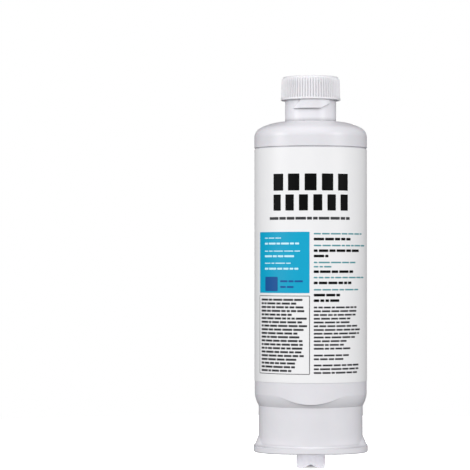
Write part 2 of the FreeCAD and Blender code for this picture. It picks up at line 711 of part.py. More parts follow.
def make_lower_end_cap():
    """Closed cup under the block, with fins that stand on the floor and centre it in the waist."""
    body = new_body("lower_end_cap")
    rim_end = f"({BLOCK_BASE} + {size.end_depth})"
    corners = [
        ("0", ELEMENT_BASE),
        (END_OUT, ELEMENT_BASE),
        (END_OUT, rim_end),
        (END_IN, rim_end),
        (END_IN, BLOCK_BASE),
        ("0", BLOCK_BASE),
    ]
    spin(body, "Revolution", "cup", corners)
    sketch = new_sketch(body, "fin_outline", "XY_Plane", FLOOR_TOP)
    half = f"({size.fin_width} / 2)"
    reach = f"({WAIST_IN} - {size.fin_gap})"
    outline(
        sketch,
        [(size.fin_start, f"-{half}"), (reach, f"-{half}"), (reach, half), (size.fin_start, half)],
    )
    fin = settle(body, add_feature(body, "Pad", "fin", sketch, Length=size.fin_height))
    ring_of(body, "fins", [fin], size.fin_count)
    return body


nodes = [
    make_sump(),
    make_head(),
    make_cap(),
    make_upper_end_cap(),
    make_lower_end_cap(),
    tube("carbon_block", BLOCK, size.block_bore, BLOCK_BASE, BLOCK_TOP),
    tube("prefilter_wrap", WRAP, BLOCK, BLOCK_BASE, BLOCK_TOP),
    tube("label", LABEL_OUT, LABEL_IN, f"({GRIP_TOP} + {size.label_low})", f"({SEAM} - {size.label_high})"),
    seal("spigot_seal", SPIGOT_FLOOR, size.spigot_ring, SPIGOT_RING_Z),
    seal("nose_seal", NOSE_FLOOR, size.nose_ring, NOSE_RING_Z),
    seal("outlet_seal", FEED_FLOOR, size.outlet_ring, FEED_RING_Z),
]
doc.recompute()

for item in doc.Objects:
    faults = [state for state in item.State if state in ("Invalid", "Error")]
    shape = getattr(item, "Shape", None)
    if faults or (shape is not None and not shape.isNull() and not shape.isValid()):
        raise RuntimeError(f"{item.Label} is not valid: {faults}")

os.makedirs("parts", exist_ok=True)
for node in nodes:
    if len(node.Shape.Solids) != 1:
        raise RuntimeError(f"{node.Label} has {len(node.Shape.Solids)} solids")
    node.Shape.exportStep(f"parts/{node.Label}.step")
    box = node.Shape.BoundBox
    print(f"{node.Label}: {node.Shape.Volume:.0f} mm3, z {box.ZMin:.2f} to {box.ZMax:.2f}")
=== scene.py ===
"""Looks of a fridge water filter cartridge: finishes, ribbed cap, label print, light and camera.

Sizes are in millimetres and become metres where a mesh is made.
+Z is up the cartridge, and its front is -Y.
"""
import logging
import math
import random
from collections.abc import Callable
from dataclasses import dataclass, field
from enum import Enum

import bpy
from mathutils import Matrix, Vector


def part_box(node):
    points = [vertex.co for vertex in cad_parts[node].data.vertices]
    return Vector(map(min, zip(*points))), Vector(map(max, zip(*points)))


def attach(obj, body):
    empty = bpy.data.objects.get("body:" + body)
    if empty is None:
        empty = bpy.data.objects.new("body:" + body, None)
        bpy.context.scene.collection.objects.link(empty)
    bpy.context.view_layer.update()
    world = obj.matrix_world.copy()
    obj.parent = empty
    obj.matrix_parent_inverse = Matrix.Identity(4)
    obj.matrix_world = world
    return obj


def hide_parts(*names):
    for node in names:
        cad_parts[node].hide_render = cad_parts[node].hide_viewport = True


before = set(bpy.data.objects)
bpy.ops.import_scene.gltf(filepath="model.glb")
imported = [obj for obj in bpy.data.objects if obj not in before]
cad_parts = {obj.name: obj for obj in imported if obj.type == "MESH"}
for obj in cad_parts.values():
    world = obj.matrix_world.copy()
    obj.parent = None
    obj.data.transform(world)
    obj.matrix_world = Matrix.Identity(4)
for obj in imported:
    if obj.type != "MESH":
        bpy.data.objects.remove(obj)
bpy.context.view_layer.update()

LOG = logging.getLogger("cartridge")
MM = 0.001
# Places that are nearer than this many metres count as the same.
TOUCH = 1e-6
WHITE = "#FFFFFF"
FULL_LEVEL = 255
# The sRGB curve: a straight start up to its knee, then a power.
SRGB_KNEE, SRGB_SLOPE, SRGB_LIFT, SRGB_POWER = 0.04045, 12.92, 0.055, 2.4
# Sockets of a colour Mix node, which has several of the same name.
MIX_A, MIX_B, MIX_RESULT = 6, 7, 2
# Nearly all of a noise texture lies between these two values.
NOISE_LOW, NOISE_HIGH = 0.3, 0.7
# Directions in the section of a turned piece, in degrees.
OUT, UP, IN, DOWN, OUT_AGAIN = 0, 90, 180, 270, 360
# Edges between faces that meet at less than this many degrees look smooth.
SMOOTH_ANGLE = 38
# A camera that is turned by this many degrees about X looks level.
LEVEL = 90


class Body(Enum):
    """Bodies that pieces ride on."""

    CARTRIDGE = "cartridge"
    CAP = "cap"


class Slot(Enum):
    """Material slots that new pieces take their finish from."""

    CAP = "cap"
    LABEL = "label"


def linear(colour: str) -> tuple[float, float, float, float]:
    """Turn an sRGB hex colour into linear RGBA.

    Args:
        colour: Six hex digits after a hash.

    Returns:
        Red, green, blue and alpha, each from 0 to 1.
    """
    shares = [level / FULL_LEVEL for level in bytes.fromhex(colour[1:])]
    curved = [((share + SRGB_LIFT) / (1 + SRGB_LIFT)) ** SRGB_POWER for share in shares]
    lit = [
        share / SRGB_SLOPE if share <= SRGB_KNEE else power for share, power in zip(shares, curved)
    ]
    return (*lit, 1.0)


def per_mm(width: float) -> float:
    """Texture scale whose features are about this many millimetres wide."""
    return 1 / (width * MM)


def add_node(
    tree: bpy.types.NodeTree,
    kind: str,
    inputs: dict[str | int, object] | None = None,
    **settings: object,
) -> bpy.types.Node:
    """Add a node with its settings and links.

    Args:
        tree: The node tree that gets the node.
        kind: The node's type name.
        inputs: Values, or sockets to link from, by the name or number of the input.
        settings: The node's own properties.

    Returns:
        The new node.
    """
    node = tree.nodes.new(kind)
    for name, setting in settings.items():
        setattr(node, name, setting)
    for name, content in (inputs or {}).items():
        if isinstance(content, bpy.types.NodeSocket):
            tree.links.new(content, node.inputs[name])
        else:
            node.inputs[name].default_value = content
    return node


def new_material(name: str) -> tuple[bpy.types.Material, bpy.types.NodeTree, bpy.types.Node]:
    """Make a material with a plain shader.

    Args:
        name: The material's name.

    Returns:
        The material, its node tree and its Principled shader.
    """
    material = bpy.data.materials.new(name)
    material.use_nodes = True
    shader = material.node_tree.nodes["Principled BSDF"]
    return material, material.node_tree, shader


@dataclass(frozen=True)
class MouldedPlastic:
    """Injection-moulded polyolefin.

    It has a satin skin with a fine grain, faint clouds where the melt flowed, and painted shade in its
    inner corners and narrow gaps.
    """

    name: str
    colour: str
    cloud: str
    roughness: float
    gloss_spread: float = 0.05
    cloud_width: float = 16.0
    cloud_detail: float = 3.0
    # The real grain is about 0.1 mm, which is too fine to show, so it is drawn coarser.
    grain_width: float = 0.8
    grain_depth: float = 0.004
    grain_detail: float = 2.0
    # Painted shade: inner corners and narrow gaps are darker than open faces, within this distance of
    # the facing wall.
    gap_width: float = 1.6
    gap_shade: float = 0.1
    # A face that sees this share of its surroundings counts as open.
    gap_open: float = 0.9
    # Light goes a little way into the plastic.
    glow: float = 0.03
    glow_reach: float = 1.2
    ior: float = 1.49

    def make(self) -> bpy.types.Material:
        """Build the material.

        Returns:
            The finished material.
        """
        material, tree, shader = new_material(self.name)
        spot = add_node(tree, "ShaderNodeTexCoord").outputs["Object"]
        cloud = add_node(
            tree,
            "ShaderNodeTexNoise",
            {"Vector": spot, "Scale": per_mm(self.cloud_width), "Detail": self.cloud_detail},
        )
        grain = add_node(
            tree,
            "ShaderNodeTexNoise",
            {"Vector": spot, "Scale": per_mm(self.grain_width), "Detail": self.grain_detail},
        )
        share = add_node(
            tree,
            "ShaderNodeMapRange",
            {"Value": cloud.outputs["Fac"], "From Min": NOISE_LOW, "From Max": NOISE_HIGH},
        )
        tint = add_node(
            tree,
            "ShaderNodeMix",
            {"Factor": share.outputs["Result"], MIX_A: linear(self.colour), MIX_B: linear(self.cloud)},
            data_type="RGBA",
        )
        # Painted shade: the colour is darkened where little of the surroundings is in sight.
        openness = add_node(
            tree, "ShaderNodeAmbientOcclusion", {"Distance": self.gap_width * MM}, only_local=True
        )
        shade = add_node(
            tree,
            "ShaderNodeMapRange",
            {"Value": openness.outputs["AO"], "From Max": self.gap_open, "To Min": self.gap_shade},
        )
        tint_with_painted_shade = add_node(
            tree,
            "ShaderNodeMix",
            {"Factor": 1.0, MIX_A: tint.outputs[MIX_RESULT], MIX_B: shade.outputs["Result"]},
            data_type="RGBA",
            blend_type="MULTIPLY",
        )
        gloss = add_node(
            tree,
            "ShaderNodeMapRange",
            {
                "Value": grain.outputs["Fac"],
                "From Min": NOISE_LOW,
                "From Max": NOISE_HIGH,
                "To Min": self.roughness - self.gloss_spread,
                "To Max": self.roughness + self.gloss_spread,
            },
        )
        bump = add_node(
            tree, "ShaderNodeBump", {"Height": grain.outputs["Fac"], "Distance": self.grain_depth * MM}
        )
        tree.links.new(tint_with_painted_shade.outputs[MIX_RESULT], shader.inputs["Base Color"])
        tree.links.new(gloss.outputs["Result"], shader.inputs["Roughness"])
        tree.links.new(bump.outputs["Normal"], shader.inputs["Normal"])
        shader.inputs["IOR"].default_value = self.ior
        shader.inputs["Subsurface Weight"].default_value = self.glow
        shader.inputs["Subsurface Scale"].default_value = self.glow_reach * MM
        return material


@dataclass(frozen=True)
class PrintedFilm:
    """Polypropylene label film, or the ink on it.

    It is smooth and even, with the slight waviness of a glued wrap.
    """

    name: str
    colour: str
    cloud: str
    roughness: float
    cloud_width: float = 5.0
    cloud_detail: float = 4.0
    wave_width: float = 9.0
    wave_depth: float = 0.01
    # Press dots are under 0.1 mm, so the dither in the ink is drawn coarser.
    dither_width: float = 0.6
    dither_spread: float = 0.04
    shine: float = 0.2

    def make(self) -> bpy.types.Material:
        """Build the material.

        Returns:
            The finished material.
        """
        material, tree, shader = new_material(self.name)
        spot = add_node(tree, "ShaderNodeTexCoord").outputs["Object"]
        cloud = add_node(
            tree,
            "ShaderNodeTexNoise",
            {"Vector": spot, "Scale": per_mm(self.cloud_width), "Detail": self.cloud_detail},
        )
        dither = add_node(
            tree, "ShaderNodeTexNoise", {"Vector": spot, "Scale": per_mm(self.dither_width)}
        )
        wave = add_node(tree, "ShaderNodeTexNoise", {"Vector": spot, "Scale": per_mm(self.wave_width)})
        tint = add_node(
            tree,
            "ShaderNodeMix",
            {"Factor": cloud.outputs["Fac"], MIX_A: linear(self.colour), MIX_B: linear(self.cloud)},
            data_type="RGBA",
        )
        gloss = add_node(
            tree,
            "ShaderNodeMapRange",
            {
                "Value": dither.outputs["Fac"],
                "From Min": NOISE_LOW,
                "From Max": NOISE_HIGH,
                "To Min": self.roughness - self.dither_spread,
                "To Max": self.roughness + self.dither_spread,
            },
        )
        bump = add_node(
            tree, "ShaderNodeBump", {"Height": wave.outputs["Fac"], "Distance": self.wave_depth * MM}
        )
        tree.links.new(tint.outputs[MIX_RESULT], shader.inputs["Base Color"])
        tree.links.new(gloss.outputs["Result"], shader.inputs["Roughness"])
        tree.links.new(bump.outputs["Normal"], shader.inputs["Normal"])
        shader.inputs["Specular IOR Level"].default_value = self.shine
        return material


@dataclass(frozen=True)
class GrainyMatter:
    """Rough, dull stuff such as pressed carbon, nonwoven fibre or rubber.

    Its grains stand out from each other, in two tones.
    """

    name: str
    colour: str
    grain: str
    roughness: float
    # The real grains and fibres are under 0.3 mm and wouldn't show, so they are drawn coarser.
    grain_width: float
    grain_depth: float
    grain_detail: float = 5.0
    # Below 1, the grains are drawn out along that axis.
    stretch: tuple[float, float, float] = (1.0, 1.0, 1.0)
    film: float = 0.0

    def make(self) -> bpy.types.Material:
        """Build the material.

        Returns:
            The finished material.
        """
        material, tree, shader = new_material(self.name)
        spot = add_node(tree, "ShaderNodeTexCoord").outputs["Object"]
        mapping = add_node(tree, "ShaderNodeMapping", {"Vector": spot, "Scale": self.stretch})
        drawn_out = mapping.outputs["Vector"]
        grains = add_node(
            tree, "ShaderNodeTexVoronoi", {"Vector": drawn_out, "Scale": per_mm(self.grain_width)}
        )
        tones = add_node(
            tree,
            "ShaderNodeTexNoise",
            {"Vector": drawn_out, "Scale": per_mm(self.grain_width), "Detail": self.grain_detail},
        )
        tint = add_node(
            tree,
            "ShaderNodeMix",
            {"Factor": tones.outputs["Fac"], MIX_A: linear(self.colour), MIX_B: linear(self.grain)},
            data_type="RGBA",
        )
        bump = add_node(
            tree,
            "ShaderNodeBump",
            {"Height": grains.outputs["Distance"], "Distance": self.grain_depth * MM},
        )
        tree.links.new(tint.outputs[MIX_RESULT], shader.inputs["Base Color"])
        tree.links.new(bump.outputs["Normal"], shader.inputs["Normal"])
        shader.inputs["Roughness"].default_value = self.roughness
        shader.inputs["Coat Weight"].default_value = self.film
        return material


# Cool white with a satin shine that follows the curves, and painted shade in its creases.
HOUSING_PLASTIC = MouldedPlastic(
    "white_moulded_polypropylene", "#DDDCE1", "#D9D8DD", roughness=0.34, gap_width=3.2
)
# A little whiter, and duller and waxier, so that the ribs shade softly, with lighter painted shade
# between them.
CAP_PLASTIC = MouldedPlastic(
    "white_moulded_polyethylene", "#E3E2E6", "#DFDEE2", roughness=0.42, gap_shade=0.4
)
# No pigment: a warm, milky grey.
END_CAP_PLASTIC = MouldedPlastic(
    "natural_moulded_polypropylene", "#DEDDD8", "#D2D1CB", roughness=0.45
)
# Purer white than the housing, with a slight shine that breaks over faint waves.
LABEL_FILM = PrintedFilm("white_label_film", "#EAEAEB", "#E7E7E9", roughness=0.42, shine=0.5)
# A fine grey line of painted shadow along the cut edge where the label's end lies over its start.
LAP_EDGE_SHADOW = PrintedFilm("painted_lap_edge_shadow", "#BEBEC3", "#B4B4BA", roughness=0.5)
# Nearly black, with a wet shine from its grease.
SEAL_RUBBER = GrainyMatter(
    "greased_black_rubber",
    "#141415",
    "#242426",
    roughness=0.42,
    grain_width=0.5,
    grain_depth=0.01,
    film=0.35,
)
# Sooty black grains with hardly any shine.
BLOCK_CARBON = GrainyMatter(
    "pressed_activated_carbon",
    "#0C0C0D",
    "#2B2B2D",
    roughness=0.85,
    grain_width=0.9,
    grain_depth=0.15,
)
# Soft warm white, with fibres that run up the sleeve.
WRAP_FIBRE = GrainyMatter(
    "white_nonwoven_fibre",
    "#F2F1EC",
    "#DAD9D2",
    roughness=0.9,
    grain_width=0.7,
    grain_depth=0.08,
    stretch=(1.0, 1.0, 0.25),
)


class Ink(Enum):
    """Inks on the label. All are flat and even, and less shiny than the bare film."""

    # Dense, with next to no shine, so that the bold print stays black in the light.
    BLACK = PrintedFilm("black_label_ink", "#0B0B0C", "#101011", roughness=0.5, shine=0.08)
    # Paler, as fine print looks on white.
    GREY = PrintedFilm("soft_black_label_ink", "#38383B", "#414144", roughness=0.48)
    # A quiet blue green for the headings.
    TEAL = PrintedFilm("teal_label_ink", "#4E8E96", "#5A99A0", roughness=0.48)
    # The bright field that catches the eye first.
    BLUE = PrintedFilm("sky_blue_label_ink", "#00A2C8", "#009DC4", roughness=0.45)
    # Darker than the field that it stands on.
    NAVY = PrintedFilm("deep_blue_label_ink", "#14569A", "#124F90", roughness=0.45)
    # White print with some of the blue showing through.
    PALE = PrintedFilm("pale_blue_label_ink", "#C4EBF6", "#BCE7F4", roughness=0.48)


def dress_node(node: str, material: bpy.types.Material) -> None:
    """Give a construction piece its finish.

    Args:
        node: The piece's name.
        material: The finish for all its faces.
    """
    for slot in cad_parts[node].material_slots:
        slot.material = material
    LOG.info("%s gets %s", node, material.name)


def pick_points(piece: bpy.types.Object, wanted: Callable[[Vector], bool]) -> None:
    """Select the points of a piece in edit mode by their place.

    Args:
        piece: The piece that is being modelled.
        wanted: True for the place of a point to select.
    """
    bpy.ops.mesh.select_mode(type="VERT")
    bpy.ops.mesh.select_all(action="DESELECT")
    bpy.ops.object.mode_set(mode="OBJECT")
    for point in piece.data.vertices:
        point.select = wanted(point.co)
    bpy.ops.object.mode_set(mode="EDIT")


def bend(
    middle: tuple[float, float], radius: float, start: float, end: float, steps: int = 4
) -> list[tuple[float, float]]:
    """Points of a round corner in a turned piece's section.

    Args:
        middle: Radius and height of the corner's middle.
        radius: The corner's own radius.
        start: Direction of the first point in degrees, 0 outwards and 90 up.
        end: Direction of the last point.
        steps: Number of edges along the corner.

    Returns:
        Radius and height of each point.
    """
    turns = [math.radians(start + (end - start) * step / steps) for step in range(steps + 1)]
    return [(middle[0] + radius * math.cos(turn), middle[1] + radius * math.sin(turn)) for turn in turns]


def turn_piece(name: str, columns: int, section: list[tuple[float, float]]) -> bpy.types.Object:
    """Model a closed round piece by extruding a ring through the points of its section.

    Args:
        name: The piece's name.
        columns: Number of points round the ring.
        section: Radius and height of each ring. A disc closes the first and the last.

    Returns:
        The new piece, in edit mode.
    """
    bpy.ops.object.select_all(action="DESELECT")
    first_radius, first_height = section[0]
    bpy.ops.mesh.primitive_circle_add(
        vertices=columns, radius=first_radius * MM, fill_type="TRIFAN", enter_editmode=True
    )
    piece = bpy.context.object
    piece.name = name
    bpy.ops.transform.translate(value=(0, 0, first_height * MM))
    bpy.ops.mesh.region_to_loop()
    for (last_radius, last_height), (radius, height) in zip(section, section[1:]):
        bpy.ops.mesh.extrude_edges_move(
            TRANSFORM_OT_translate={"value": (0, 0, (height - last_height) * MM)}
        )
        share = radius / last_radius
        bpy.ops.transform.resize(value=(share, share, 1), center_override=(0, 0, height * MM))
    bpy.ops.mesh.extrude_edges_move()
    bpy.ops.mesh.merge(type="CENTER")
    bpy.ops.mesh.select_all(action="SELECT")
    bpy.ops.mesh.normals_make_consistent(inside=False)
    return piece


def finish_piece(
    piece: bpy.types.Object, material: bpy.types.Material, body: Body
) -> None:
    """Smooth a new piece, dress it and let it ride on its body.

    Args:
        piece: The active piece, in object mode.
        material: Its finish.
        body: What it moves with.
    """
    bpy.ops.object.shade_smooth_by_angle(angle=math.radians(SMOOTH_ANGLE))
    piece.data.materials.append(material)
    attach(piece, body.value)
    LOG.info("%s has %d faces", piece.name, len(piece.data.polygons))


@dataclass
class Cap:
    """Protective push-on cap: a thin cup with fine rounded ribs over a smooth lip."""

    bore: float = 14.55
    wall: float = 1.5
    roof: float = 1.6
    lip_height: float = 1.2
    lip_bulge: float = 0.15
    bevel: float = 0.6
    corner: float = 0.9
    edge: float = 0.3
    # The mouth tapers by this width over this height, to lead the cap onto the neck.
    lead_width: float = 0.95
    lead_height: float = 2.0
    ledge: float = 0.1
    rib_count: int = 68
    rib_depth: float = 0.6
    # Above 1, the valleys are narrower than the ribs.
    valley_power: float = 1.2
    points_per_rib: int = 8
    wall_rows: int = 4
    # Radius of the flat discs in the middle of the roof.
    middle: float = 7.0
    base: float = field(init=False)
    top: float = field(init=False)
    lip: float = field(init=False)
    foot: float = field(init=False)
    shoulder: float = field(init=False)
    lip_top: float = field(init=False)
    rib_end: float = field(init=False)
    columns: int = field(init=False)

    def __post_init__(self) -> None:
        """Take the cap's outer size from its construction piece."""
        low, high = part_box("cap")
        self.base = low.z / MM
        self.top = high.z / MM
        self.lip = high.x / MM
        self.foot = self.lip - self.lip_bulge
        self.shoulder = self.bore + self.wall
        self.lip_top = self.base + self.lip_height
        self.rib_end = self.top - self.corner - self.bevel
        self.columns = self.rib_count * self.points_per_rib

    def wall_radius(self, height: float) -> float:
        """Radius of the ribs' tips at a height, which is less towards the top."""
        share = (height - self.lip_top) / (self.rib_end - self.lip_top)
        return self.foot + (self.shoulder - self.foot) * share

    def rib_rows(self) -> list[tuple[float, float]]:
        """Rings that carry the ribs, before the valleys are pressed in.

        Returns:
            Radius and height of each ring, from the lowest up.
        """
        first = self.lip_top + self.ledge
        rise = (self.rib_end - first) / self.wall_rows
        levels = [first + rise * row for row in range(self.wall_rows + 1)]
        return [(self.wall_radius(level), level) for level in levels]

    def section(self) -> list[tuple[float, float]]:
        """Section of the cup, from the middle of its ceiling, down inside and up outside, to the top.

        Returns:
            Radius and height of each point.
        """
        ceiling = self.top - self.roof
        low = self.base + self.edge
        inset = self.shoulder - self.bevel - self.corner
        return [
            (self.middle, ceiling),
            *bend((self.bore - self.edge, ceiling - self.edge), self.edge, UP, OUT),
            (self.bore, self.base + self.lead_height),
            *bend((self.bore + self.lead_width + self.edge, low), self.edge, IN, DOWN),
            *bend((self.lip - self.edge, low), self.edge, DOWN, OUT_AGAIN),
            (self.lip, self.lip_top - self.edge),
            (self.foot, self.lip_top),
            *self.rib_rows(),
            *bend((inset, self.top - self.corner), self.corner, OUT, UP),
            (self.middle, self.top),
        ]

    def in_valley(self, place: Vector, radius: float, height: float, step: int) -> bool:
        """Tell whether a point of a ring is some columns from the middle of a valley.

        Args:
            place: Where the point is.
            radius: The ring's radius.
            height: The ring's height.
            step: How many columns from the valley's middle, to either side.

        Returns:
            True for such a point.
        """
        at_height = abs(place.z - height * MM) < TOUCH
        at_radius = abs(place.xy.length - radius * MM) < TOUCH
        column = round(math.atan2(place.y, place.x) / math.tau * self.columns) % self.points_per_rib
        return at_height and at_radius and column in (step, (-step) % self.points_per_rib)

    def press_valleys(self, piece: bpy.types.Object) -> None:
        """Draw the points between the ribs in towards the axis, ring by ring.

        Args:
            piece: The plain cup, in edit mode.
        """
        for radius, height in self.rib_rows():
            for step in range(self.points_per_rib // 2):
                wave = (1 + math.cos(math.tau * step / self.points_per_rib)) / 2
                pick_points(piece, lambda place: self.in_valley(place, radius, height, step))
                share = 1 - self.rib_depth * wave**self.valley_power / radius
                bpy.ops.transform.resize(value=(share, share, 1), center_override=(0, 0, height * MM))

    def build(self) -> bpy.types.Object:
        """Model and dress the cap, which stands for the construction's plain one.

        Returns:
            The finished cap.
        """
        piece = turn_piece("ribbed_cap", self.columns, self.section())
        self.press_valleys(piece)
        bpy.ops.object.mode_set(mode="OBJECT")
        finish_piece(piece, CAP_PLASTIC.make(), Body.CAP)
        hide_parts("cap")
        return piece


@dataclass(frozen=True)
class Mark:
    """A printed field, by its middle along the label's arc from the front, middle height and size."""

    arc: float
    height: float
    width: float
    tall: float


@dataclass(frozen=True)
class Row:
    """A line of print, by its middle height and where it ends on the arc."""

    height: float
    end: float


@dataclass(frozen=True)
class HeadlineRow:
    """A bold row of equal blocks, by their number, middle height and own height."""

    count: int
    height: float
    tall: float


@dataclass(frozen=True)
class Paragraph:
    """A block of small print whose lines start at one place on the arc and end between two.

    Its top is the first line's middle height.
    """

    start: float
    nearest: float
    farthest: float
    top: float
    count: int
    tall: float


@dataclass
class Label:
    """Wrap label: white film with a lap at the back.

    The print is in plain fields and word-length dashes.
    """

    lap_width: float = 8.0
    lap_film: float = 0.03
    shadow_line_width: float = 0.25
    shadow_line_corner: float = 0.0625
    ink_film: float = 0.03
    # How far the back of the ink stands off the label, alone and over the panel.
    ink_lift: float = 0.02
    over_lift: float = 0.07
    # The film is cut across at this step, so that it can follow the round body.
    cut_step: float = 2.0
    corner: float = 0.3
    corner_edges: int = 2
    word_seed: int = 11
    word_least: float = 1.8
    word_most: float = 6.4
    word_gap: float = 0.6
    left_edge: float = -34.4
    middle: float = -0.6
    right_start: float = 1.7

    headline_edge: float = 22.0
    headline_gap: float = 2.9
    headline_rows: tuple[HeadlineRow, ...] = (
        HeadlineRow(count=5, height=157.4, tall=9.2),
        HeadlineRow(count=6, height=146.3, tall=8.8),
    )
    subtitle: Row = Row(137.7, 24.8)
    subtitle_tall: float = 1.5

    heading_tall: float = 0.8
    heading_rows: tuple[Row, ...] = (
        Row(129.3, 34.5),
        Row(122.9, 38.5),
        Row(113.7, 30.4),
        Row(111.4, 13.5),
        Row(105.5, 37.0),
        Row(98.9, 30.7),
    )
    value_tall: float = 1.4
    value_rows: tuple[Row, ...] = (
        Row(126.4, 24.9),
        Row(120.1, 31.8),
        Row(117.2, 12.1),
        Row(108.7, 26.1),
        Row(102.6, 24.7),
        Row(96.0, 17.8),
        Row(93.0, 17.2),
    )

    line_pitch: float = 2.03
    paragraphs: tuple[Paragraph, ...] = (
        Paragraph(start=-32.3, nearest=-11.0, farthest=-2.0, top=93.4, count=20, tall=1.1),
        Paragraph(start=right_start, nearest=20.0, farthest=34.0, top=89.3, count=12, tall=0.97),
        Paragraph(start=right_start, nearest=21.0, farthest=23.0, top=63.3, count=2, tall=0.97),
        Paragraph(start=right_start, nearest=27.0, farthest=33.0, top=57.9, count=3, tall=0.97),
    )
    frame_low: float = 53.1
    frame_high: float = 95.5
    frame_line: float = 0.35

    panel_inset: float = 0.3
    panel_height: float = 113.7
    panel_tall: float = 33.3
    panel_start: float = -28.9
    panel_fine: float = 0.55
    panel_bold: float = 1.05
    # The panel's rows come in pairs, fine over bold.
    panel_rows: tuple[tuple[Row, Row], ...] = (
        (Row(127.0, -15.6), Row(124.0, -6.3)),
        (Row(119.9, -4.1), Row(117.1, -8.0)),
        (Row(113.3, -9.1), Row(110.3, -5.7)),
    )
    tile: Mark = Mark(arc=-23.8, height=102.0, width=9.4, tall=7.8)
    tile_start: float = -17.4
    tile_tall: float = 1.0
    tile_rows: tuple[Row, ...] = (Row(103.5, -4.0), Row(100.4, -8.5))

    radius: float = field(init=False)
    low: float = field(init=False)
    high: float = field(init=False)
    words: random.Random = field(init=False)

    def __post_init__(self) -> None:
        """Take the label's size from its construction piece."""
        low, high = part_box("label")
        self.radius = high.x / MM
        self.low = low.z / MM
        self.high = high.z / MM
        self.words = random.Random(self.word_seed)

    def span(self, start: float, end: float, height: float, tall: float) -> Mark:
        """One field between two places on the arc."""
        return Mark((start + end) / 2, height, end - start, tall)

    def line(self, start: float, row: Row, tall: float) -> list[Mark]:
        """Break a line of print into dashes as long as words.

        Args:
            start: Where the line starts on the arc.
            row: Its middle height and where it ends.
            tall: The dashes' height.

        Returns:
            The line's dashes.
        """
        marks = []
        left = start
        while left < row.end - self.word_least:
            right = min(left + self.words.uniform(self.word_least, self.word_most), row.end)
            marks.append(self.span(left, right, row.height, tall))
            left = right + self.word_gap
        return marks

    def lines(self, start: float, rows: tuple[Row, ...], tall: float) -> list[Mark]:
        """Dashes of several lines of print that start at one place on the arc."""
        return [mark for row in rows for mark in self.line(start, row, tall)]

    def roll(self, sheet: bpy.types.Object, lift: float) -> None:
        """Roll flat artwork onto the label: X becomes the arc, and Z stays.

        The bend operator needs a window, so each point is moved by its own angle.

        Args:
            sheet: The flat artwork, in object mode.
            lift: How far it stands off the label's face.
        """
        rolled = (self.radius + lift) * MM
        for point in sheet.data.vertices:
            turn = point.co.x / (self.radius * MM)
            point.co = Vector((rolled * math.sin(turn), -rolled * math.cos(turn), point.co.z))

    def lay(
        self,
        name: str,
        marks: list[Mark],
        finish: PrintedFilm,
        lift: float,
        film: float,
        corner: float,
    ) -> bpy.types.Object:
        """Model flat fields as thin film on the label.

        Args:
            name: The piece's name.
            marks: The fields.
            finish: Their ink or film.
            lift: How far their back stands off the label's face.
            film: Their thickness.
            corner: Rounding of their corners.

        Returns:
            The finished piece.
        """
        bpy.ops.object.select_all(action="DESELECT")
        bpy.ops.object.add(type="MESH", enter_editmode=True)
        piece = bpy.context.object
        piece.name = name
        for mark in marks:
            spot = (mark.arc * MM, 0, mark.height * MM)
            bpy.ops.mesh.primitive_plane_add(size=MM, location=spot, rotation=(math.pi / 2, 0, 0))
            bpy.ops.transform.resize(value=(mark.width, 1, mark.tall), center_override=spot)
        bpy.ops.mesh.select_all(action="SELECT")
        bpy.ops.mesh.bevel(
            offset=corner * MM, segments=self.corner_edges, affect="VERTICES", clamp_overlap=True
        )
        left = min(mark.arc - mark.width / 2 for mark in marks)
        right = max(mark.arc + mark.width / 2 for mark in marks)
        for cut in range(math.ceil(left / self.cut_step), math.floor(right / self.cut_step) + 1):
            bpy.ops.mesh.select_all(action="SELECT")
            bpy.ops.mesh.bisect(plane_co=(cut * self.cut_step * MM, 0, 0), plane_no=(1, 0, 0))
        bpy.ops.object.mode_set(mode="OBJECT")
        self.roll(piece, lift)
        bpy.ops.object.modifier_add(type="SOLIDIFY")
        shell = piece.modifiers[0]
        shell.thickness = film * MM
        # The film grows outwards from the rolled face.
        shell.offset = 1.0
        bpy.ops.object.modifier_apply(modifier=shell.name)
        finish_piece(piece, finish.make(), Body.CARTRIDGE)
        return piece

    def ink(self, name: str, marks: list[Mark], ink: Ink, lift: float) -> bpy.types.Object:
        """Print fields in one ink."""
        return self.lay(name, marks, ink.value, lift, self.ink_film, self.corner)

    def headline(self) -> list[Mark]:
        """Two bold rows of plain blocks.

        Returns:
            The blocks of both rows.
        """
        marks = []
        for row in self.headline_rows:
            pitch = (2 * self.headline_edge + self.headline_gap) / row.count
            for block in range(row.count):
                left = -self.headline_edge + block * pitch
                marks.append(self.span(left, left + pitch - self.headline_gap, row.height, row.tall))
        return marks

    def small_print(self) -> list[Mark]:
        """Small print: a framed block on the left and three blocks on the right.

        Returns:
            The dashes of all blocks.
        """
        marks = []
        for block in self.paragraphs:
            for number in range(block.count):
                end = self.words.uniform(block.nearest, block.farthest)
                row = Row(block.top - number * self.line_pitch, end)
                marks += self.line(block.start, row, block.tall)
        return marks

    def frame_bars(self) -> list[Mark]:
        """Thin frame round the small print on the left.

        Returns:
            The frame's four bars.
        """
        tall = self.frame_high - self.frame_low
        across = (
            self.span(self.left_edge, self.middle, height, self.frame_line)
            for height in (self.frame_low, self.frame_high)
        )
        upright = (
            Mark(arc, self.frame_low + tall / 2, self.frame_line, tall)
            for arc in (self.left_edge, self.middle)
        )
        return [*across, *upright]

    def panel_lines(self) -> list[Mark]:
        """Pale lines on the blue panel.

        Returns:
            The lines' dashes.
        """
        marks = []
        for fine, bold in self.panel_rows:
            marks += self.line(self.panel_start, fine, self.panel_fine)
            marks += self.line(self.panel_start, bold, self.panel_bold)
        return marks

    def lay_lap(self) -> None:
        """Lay the label's end over its start at the back, with a painted shadow line along its cut edge.
        """
        back = math.pi * self.radius
        middle = (self.low + self.high) / 2
        tall = self.high - self.low
        lap = [Mark(back, middle, self.lap_width, tall)]
        self.lay("label_lap", lap, LABEL_FILM, self.ink_lift, self.lap_film, self.corner)
